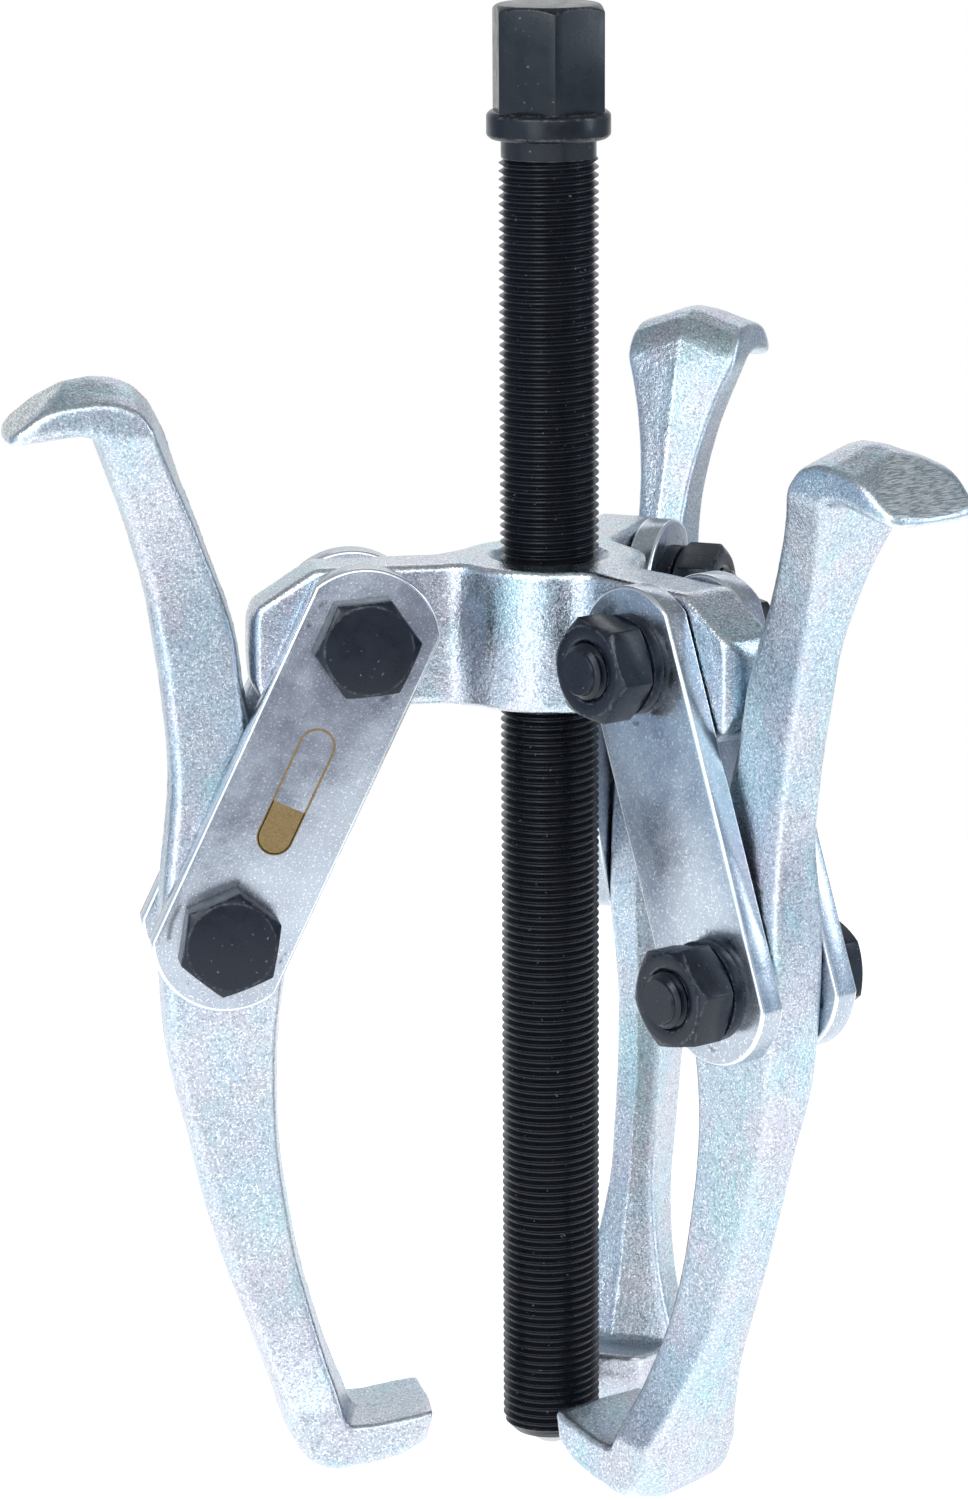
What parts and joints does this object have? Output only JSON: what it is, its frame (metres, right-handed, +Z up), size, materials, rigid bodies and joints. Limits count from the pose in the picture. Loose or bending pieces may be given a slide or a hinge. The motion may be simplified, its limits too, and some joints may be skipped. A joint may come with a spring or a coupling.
{
  "type": "gear puller",
  "caption": "Hand-operated puller: a yoke with hinged links carries reversible double-ended jaws, and a central screw spindle presses on a shaft while the jaws draw off a gear.",
  "frame": {"origin": "lowest point of the ball in the spindle's lower end, on the spindle axis, at the pictured feed", "axes": "+Z up along the spindle to the hexagon; -X along the left arm; the other arms at 120 degrees"},
  "size_m": [0.1585, 0.1821, 0.273],
  "materials": {
    "zinc_forged": "bright zinc over a blasted forging",
    "zinc_plate": "bright zinc on rolled plate",
    "black_fastener": "satin black oxide",
    "black_spindle": "oiled black oxide",
    "ball_steel": "ground"
  },
  "bodies": {
    "yoke": {"yoke": "zinc_forged"},
    "tip": {"tip_ball": "ball_steel"},
    "spindle": {"spindle": "black_spindle"},
    "links_left": {"plate_head_left": "zinc_plate", "plate_nut_left": "zinc_plate", "bolt_upper_left": "black_fastener", "washer_upper_left": "black_fastener", "nut_upper_left": "black_fastener", "bolt_lower_left": "black_fastener", "washer_lower_left": "black_fastener", "nut_lower_left": "black_fastener"},
    "jaw_left": {"jaw_left": "zinc_forged"},
    "links_front": {"plate_head_front": "zinc_plate", "plate_nut_front": "zinc_plate", "bolt_upper_front": "black_fastener", "washer_upper_front": "black_fastener", "nut_upper_front": "black_fastener", "bolt_lower_front": "black_fastener", "washer_lower_front": "black_fastener", "nut_lower_front": "black_fastener"},
    "jaw_front": {"jaw_front": "zinc_forged"},
    "links_back": {"plate_head_back": "zinc_plate", "plate_nut_back": "zinc_plate", "bolt_upper_back": "black_fastener", "washer_upper_back": "black_fastener", "nut_upper_back": "black_fastener", "bolt_lower_back": "black_fastener", "washer_lower_back": "black_fastener", "nut_lower_back": "black_fastener"},
    "jaw_back": {"jaw_back": "zinc_forged"}
  },
  "joints": [
    {"name": "spindle_feed", "type": "slide", "parent": "yoke", "child": "tip", "axis": [0, 0, 1], "range_m": [-0.0751, 0.1351]},
    {"name": "spindle_turn", "type": "hinge", "parent": "tip", "child": "spindle", "pos_m": [0, 0, 0], "axis": [0, 0, 1], "range_deg": [-18000, 32400]},
    {"name": "link_swing_left", "type": "hinge", "parent": "yoke", "child": "links_left", "pos_m": [-0.0357, 0, 0.157], "axis": [0, 1, 0], "range_deg": [-2, 35]},
    {"name": "jaw_swing_left", "type": "hinge", "parent": "links_left", "child": "jaw_left", "pos_m": [-0.06119, 0, 0.10357], "axis": [0, -1, 0], "range_deg": [0, 4.6]},
    {"name": "link_swing_front", "type": "hinge", "parent": "yoke", "child": "links_front", "pos_m": [0.01785, -0.03092, 0.157], "axis": [-0.866, -0.5, 0], "range_deg": [0, 38]},
    {"name": "jaw_swing_front", "type": "hinge", "parent": "links_front", "child": "jaw_front", "pos_m": [0.02865, -0.04962, 0.10188], "axis": [0.866, 0.5, 0], "range_deg": [0, 1.7]},
    {"name": "link_swing_back", "type": "hinge", "parent": "yoke", "child": "links_back", "pos_m": [0.01785, 0.03092, 0.157], "axis": [0.866, -0.5, 0], "range_deg": [-1.5, 36]},
    {"name": "jaw_swing_back", "type": "hinge", "parent": "links_back", "child": "jaw_back", "pos_m": [0.02989, 0.05177, 0.10292], "axis": [-0.866, 0.5, 0], "range_deg": [0, 3.4]}
  ],
  "couplings": [
    {"joint": "spindle_feed", "follows": "spindle_turn", "m_per_rad": 0.00023873}
  ]
}
